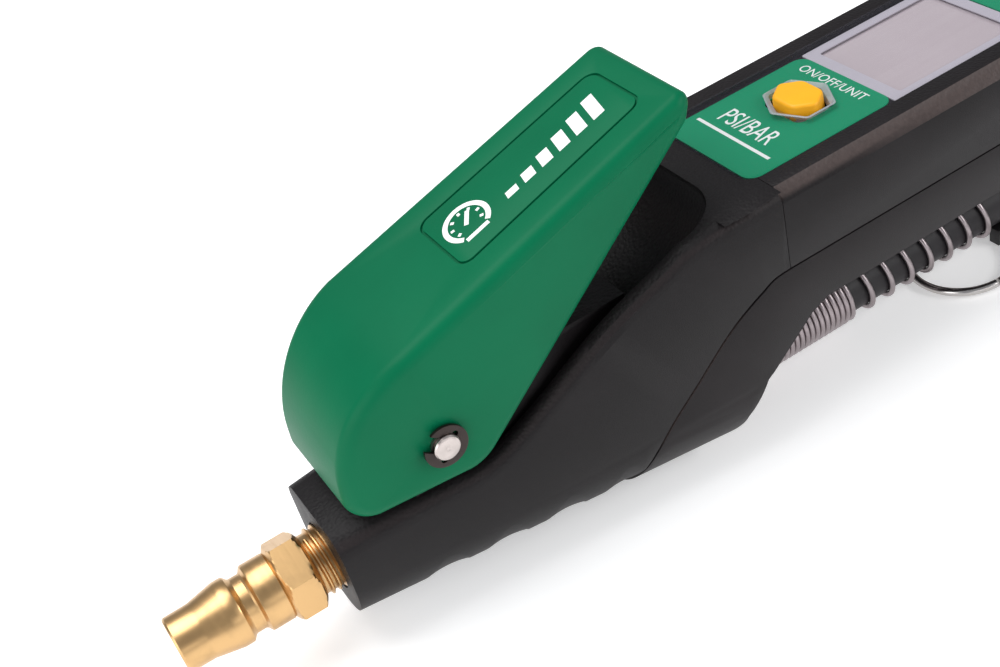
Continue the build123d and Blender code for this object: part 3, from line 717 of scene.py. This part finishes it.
def clear(name, tint, haze, see):
    """Clear acrylic: nearly invisible but for its reflections and a trace of fine scratches."""
    f = Finish(name)
    scratches = f.noise(1.5, 4, (1, 12, 1))
    dust = f.noise(0.8, 3)
    alpha = see + scratches.ramp(0.62, 0.8) * 0.03 + dust.ramp(0.66, 0.8) * 0.03
    return f.surface(Base_Color=linear(tint), Roughness=haze + scratches * 0.05, Alpha=alpha,
                     Specular_IOR_Level=0.16)


film_green = printed("film_green", (0, 138, 96), gloss=0.12)
print_white = printed("print_white", (240, 244, 243))
lens_clear = clear("lens_clear", (96, 96, 108), 0.06, 0.07)


def glass_of_display():
    """Polariser of a reflective display: warm grey with a faint vertical rub and grey depth."""
    f = Finish("display_glass")
    rub = f.noise(2.0, 3, (0.05, 1, 1))
    cloud = f.noise(18, 3)
    tint = f.blend(rub * 0.4 + cloud * 0.5, linear((182, 169, 175)), linear((204, 193, 198)))
    return f.surface(Base_Color=tint, Roughness=0.18 + rub * 0.06, Normal=f.bump(rub, 0.01, 0.3))


display_glass = glass_of_display()

# %% Flat outlines
def rounded_outline(bm, x0, x1, half, z, corner, steps=8):
    """A loop of edges round a rounded rectangle that is centred on Y = 0."""
    corners = [(x1 - corner, half - corner, 0), (x0 + corner, half - corner, 90),
               (x0 + corner, corner - half, 180), (x1 - corner, corner - half, 270)]
    verts = []
    for x, y, first in corners:
        for k in range(steps + 1):
            a = radians(first + 90 * k / steps)
            verts.append(bm.verts.new((x + corner * cos(a), y + corner * sin(a), z)))
    return [bm.edges.new(pair) for pair in zip(verts, verts[1:] + verts[:1])]


def raised(bm, height):
    """Lifts every face of a flat drawing into a thin solid."""
    lifted = bmesh.ops.extrude_face_region(bm, geom=list(bm.faces), use_keep_orig=True)
    verts = [g for g in lifted["geom"] if isinstance(g, bmesh.types.BMVert)]
    bmesh.ops.translate(bm, verts=verts, vec=(0, 0, height))


def framed(outer, inner, z, height):
    """A flat frame between two rounded rectangles, with a real thickness."""
    bm = bmesh.new()
    loops = rounded_outline(bm, *outer[:3], z, outer[3]) + rounded_outline(bm, *inner[:3], z, inner[3])
    bmesh.ops.bridge_loops(bm, edges=loops)
    raised(bm, height)
    return bm


BUTTON_X = 112.7
RECESS = (BUTTON_X - 4.2, BUTTON_X + 4.8, 5.3, 1.6)
FILM_Z, FILM_THICK = 37.36, 0.3
FILM_HALF, FILM_CORNER = 12.7, 2.6
bm = framed((91.4, 124.6, FILM_HALF, FILM_CORNER), RECESS, FILM_Z, FILM_THICK)
make("film_front", bm, film_green, replaces=["label_print"])
bm = bmesh.new()
bmesh.ops.contextual_create(bm, geom=rounded_outline(bm, 158.4, 172.2, FILM_HALF, FILM_Z, FILM_CORNER))
raised(bm, FILM_THICK)
make("film_rear", bm, film_green)
bm = framed((124.7, 158.2, 13.1, 0.5), (127.4, 155.6, 11.0, 0.6), 37.30, 0.22)
make("window_frame", bm, printed("frame_grey", (182, 177, 187)))

# %% The button's well
WELL_X = BUTTON_X + 0.4
WELL_RINGS = [(6.7, 6.5, 38.80), (6.4, 6.25, 38.98), (5.3, 5.7, 38.45),
              (5.0, 5.4, 37.2), (5.2, 5.55, 36.9)]


def hexagon_loop(bm, half_x, half_y, z):
    """A loop of edges round a six-sided opening with points towards plus and minus X."""
    corners = [(half_x, 0), (half_x / 2, half_y), (-half_x / 2, half_y),
               (-half_x, 0), (-half_x / 2, -half_y), (half_x / 2, -half_y)]
    verts = [bm.verts.new((WELL_X + x, y, z)) for x, y in corners]
    return [bm.edges.new(pair) for pair in zip(verts, verts[1:] + verts[:1])]


bm = bmesh.new()
loops = [hexagon_loop(bm, *size) for size in WELL_RINGS]
for inner, outer in zip(loops, loops[1:]):
    bmesh.ops.bridge_loops(bm, edges=inner + outer)
corners = [e for e in bm.edges if abs(e.verts[0].co.z - e.verts[1].co.z) > 0.05]
bmesh.ops.bevel(bm, geom=corners, offset=0.5, segments=3, affect="EDGES", profile=0.5, material=-1)
make("key_well", bm, clear("well_clear", (176, 180, 186), 0.12, 0.72))
eased("display_window", "display_lens", lens_clear, 0.35, corner=40, segments=3)
dress("lcd_module", display_glass)

# %% [markdown]
# ## Power button
#
# The button is a yellow six-sided cap with a soft top that stands in its recess. A low cylinder
# with six sides is stretched across the tool, and its corners and rim are bevelled as if moulded.

# %% The button
FOOT_R, CROWN_R, KEY_TALL = 5.2, 5.0, 5.9
bm = bmesh.new()
bmesh.ops.create_cone(bm, cap_ends=True, segments=6, radius1=FOOT_R, radius2=CROWN_R, depth=KEY_TALL)
bmesh.ops.scale(bm, vec=(0.885, 1.13, 1.0), verts=bm.verts)
bmesh.ops.translate(bm, verts=bm.verts, vec=(BUTTON_X + 0.2, 0, 37.2))
upright = [e for e in bm.edges if abs(e.verts[0].co.z - e.verts[1].co.z) > 1]
bmesh.ops.bevel(bm, geom=upright, offset=0.9, segments=4, affect="EDGES", profile=0.5, material=-1)
rim = [e for e in bm.edges if min(v.co.z for v in e.verts) > 40]
bmesh.ops.bevel(bm, geom=rim, offset=0.7, segments=4, affect="EDGES", profile=0.5, material=-1)
make("power_key", bm, button_yellow, "button", ["power_button"], sharp=40)

# %% [markdown]
# ## Printing
#
# The film carries plain words for what the button does, a rule, and the two units. The lever's
# panel carries a gauge dial and a rising scale. Words are font curves turned into meshes, and the
# dial is drawn from spun arcs, so every mark is thin real geometry.

# %% Printing helpers
INK = 0.03


def flat_frame(origin, along, upward):
    """A matrix that lays a flat drawing on the tool: its X along one direction and Y along another."""
    a, b = Vector(along).normalized(), Vector(upward).normalized()
    n = a.cross(b)
    return Matrix.Translation(origin) @ Matrix((a, b, n)).transposed().to_4x4()


def words(name, text, height, length, place, material):
    """Plain lettering on the film, fitted to a cap height and a length in drawing millimetres."""
    data = bpy.data.curves.new(name + "_font", "FONT")
    data.body = text
    data.size = 10
    data.align_x = "CENTER"
    data.resolution_u = 6
    font = bpy.data.objects.new(name + "_font", data)
    bpy.context.scene.collection.objects.link(font)
    bpy.context.view_layer.update()
    drawn = bpy.data.meshes.new_from_object(font.evaluated_get(bpy.context.evaluated_depsgraph_get()))
    bpy.data.objects.remove(font)
    bm = bmesh.new()
    bm.from_mesh(drawn)
    bpy.data.meshes.remove(drawn)
    bmesh.ops.remove_doubles(bm, verts=bm.verts, dist=1e-4)
    xs = [v.co.x for v in bm.verts]
    ys = [v.co.y for v in bm.verts]
    fit = (length / (max(xs) - min(xs)), height / (max(ys) - min(ys)), 1)
    bmesh.ops.translate(bm, verts=bm.verts, vec=(-(max(xs) + min(xs)) / 2, -(max(ys) + min(ys)) / 2, 0))
    bmesh.ops.scale(bm, vec=fit, verts=bm.verts)
    raised(bm, INK)
    bmesh.ops.transform(bm, matrix=place, verts=bm.verts)
    make(name, bm, material, sharp=40)


def bar(bm, x0, x1, y0, y1, slant=0.0):
    """A flat four-sided stroke."""
    corners = [(x0, y0), (x1, y0), (x1 + slant, y1), (x0 + slant, y1)]
    bm.faces.new([bm.verts.new((x, y, 0)) for x, y in corners])


def arc_band(bm, inner, outer, first, last, steps=32):
    """A flat band of a circle between two angles in degrees."""
    a = radians(first)
    verts = [bm.verts.new((r * cos(a), r * sin(a), 0)) for r in (inner, outer)]
    edge = bm.edges.new(verts)
    bmesh.ops.spin(bm, geom=verts + [edge], cent=(0, 0, 0), axis=(0, 0, 1),
                   angle=radians(last - first), steps=steps, use_merge=False)


# %% Words on the film
PRINT_Z = 37.66


def on_film(x, y):
    """Lays a drawing on the film, with its lines of text across the tool."""
    return flat_frame((x, y, PRINT_Z), (0, -1, 0), (1, 0, 0))


words("words_button", "ON/OFF/UNIT", 2.2, 17.8, on_film(121.9, 0.8), print_white)
words("words_units", "PSI/BAR", 4.4, 14.2, on_film(102.4, 1.2), print_white)
bm = bmesh.new()
bar(bm, -10.4, 10.4, -0.36, 0.36)
raised(bm, INK)
bmesh.ops.transform(bm, matrix=on_film(98.0, 0.7), verts=bm.verts)
make("print_rule", bm, print_white)

# %% The dial and scale on the lever
SLOPE = 0.3122
DIAL_X = 43.3
DIAL_GAP = 40
DIAL_FIRST, DIAL_LAST = -50, 230
NEEDLE = 55


def lever_top(x):
    """Height of the lever's flat top."""
    return 48.8 + (x - 40) * SLOPE


def turned_bar(bm, angle, *sides):
    """A stroke turned about the dial's middle."""
    before = set(bm.verts)
    bar(bm, *sides)
    fresh = [v for v in bm.verts if v not in before]
    turn = Matrix.Rotation(radians(angle), 3, "Z")
    bmesh.ops.rotate(bm, verts=fresh, cent=(0, 0, 0), matrix=turn)


bm = bmesh.new()
arc_band(bm, 3.6, 4.6, DIAL_FIRST, DIAL_LAST, 40)
for angle in range(DIAL_FIRST + 20, DIAL_LAST - 19, DIAL_GAP):
    turned_bar(bm, angle, 2.5, 3.2, -0.28, 0.28)
turned_bar(bm, NEEDLE, -0.8, 2.6, -0.42, 0.42)
bar(bm, -2.4, 2.4, -4.3, -3.4)
for n in range(6):
    bar(bm, 7.4 + 3.9 * n, 9.9 + 3.9 * n, -3.0, -1.4 + 0.85 * n, 0.35 + 0.18 * n)
raised(bm, 0.04)
panel = flat_frame((DIAL_X, 0, lever_top(DIAL_X) + 0.005), (1, 0, SLOPE), (0, 1, 0))
bmesh.ops.transform(bm, verts=bm.verts, matrix=panel)
make("lever_marking", bm, print_white, "lever", sharp=40)

# %% [markdown]
# ## Chuck
#
# The clip-on chuck lies where the hose ends. It is a plated turning with a grip ring, crimped
# ferrules and a bent steel thumb lever. The CAD shapes are right, so they get eased edges, and
# the ferrules get the ring-shaped dents of the crimping tool.

# %% The chuck and the crimped ferrules
eased("chuck_shell", "chuck_body", METALS["chuck_chrome"], 0.15)
eased("chuck_thumb", "chuck_lever", METALS["zinc_steel"], 0.15, "chuck_lever")


def ferrule(name, node, x0, x1, y, z):
    """A brass sleeve with two rolled crimps."""
    bm = bmesh.new()
    length = x1 - x0
    outer = [(0.0, 5.9), (0.25, 6.25), (0.6, 6.3)]
    for middle in (length * 0.34, length * 0.68):
        outer += [(middle - 0.75, 6.3), (middle - 0.4, 5.95), (middle + 0.4, 5.95), (middle + 0.75, 6.3)]
    outer += [(length - 0.6, 6.3), (length - 0.25, 6.25), (length, 5.9)]
    profile = [(x0 + a, r) for a, r in outer] + [(x1, 5.3), (x0, 5.3)]
    spun(bm, profile, "x", (0, y, z), 64)
    make(name, bm, METALS["fitting_brass"], replaces=[node])


ferrule("ferrule_tool_end", "hose_ferrule", 72.3, 78.4, 0, HOSE_Z)
ferrule("chuck_crimp", "chuck_ferrule", CHUCK[0] - 13.4, CHUCK[0] - 0.4, CHUCK[1], CHUCK[2])

# %% [markdown]
# ## Everything else keeps its CAD shape
#
# Pieces inside the tool, and plain ones outside it, are right as the CAD made them. Each gets the
# finish of its material slot, so nothing is left with a flat colour.

# %% Dressing the CAD pieces
SLOT_FINISH = {
    "board_green": board_green, "guide_white": guide_white, "tray_black": tray_black, "cell_wrap": cell_wrap,
    "grip_plastic": grip_plastic, "cover_plastic": cover_plastic, "shell_plastic": shell_plastic,
    "door_plastic": door_plastic, "lever_plastic": lever_green, "button_yellow": button_yellow,
    "hose_rubber": hose_rubber, "rubber_black": seal_rubber, "seal_rubber": seal_rubber, **METALS,
}
record_slots = {part["node"]: part["material_slot"] for part in frame["record"]["subparts"]}
for node, slot in record_slots.items():
    if slot in SLOT_FINISH:
        dress(node, SLOT_FINISH[slot])
print("dressed", len(record_slots), "nodes")
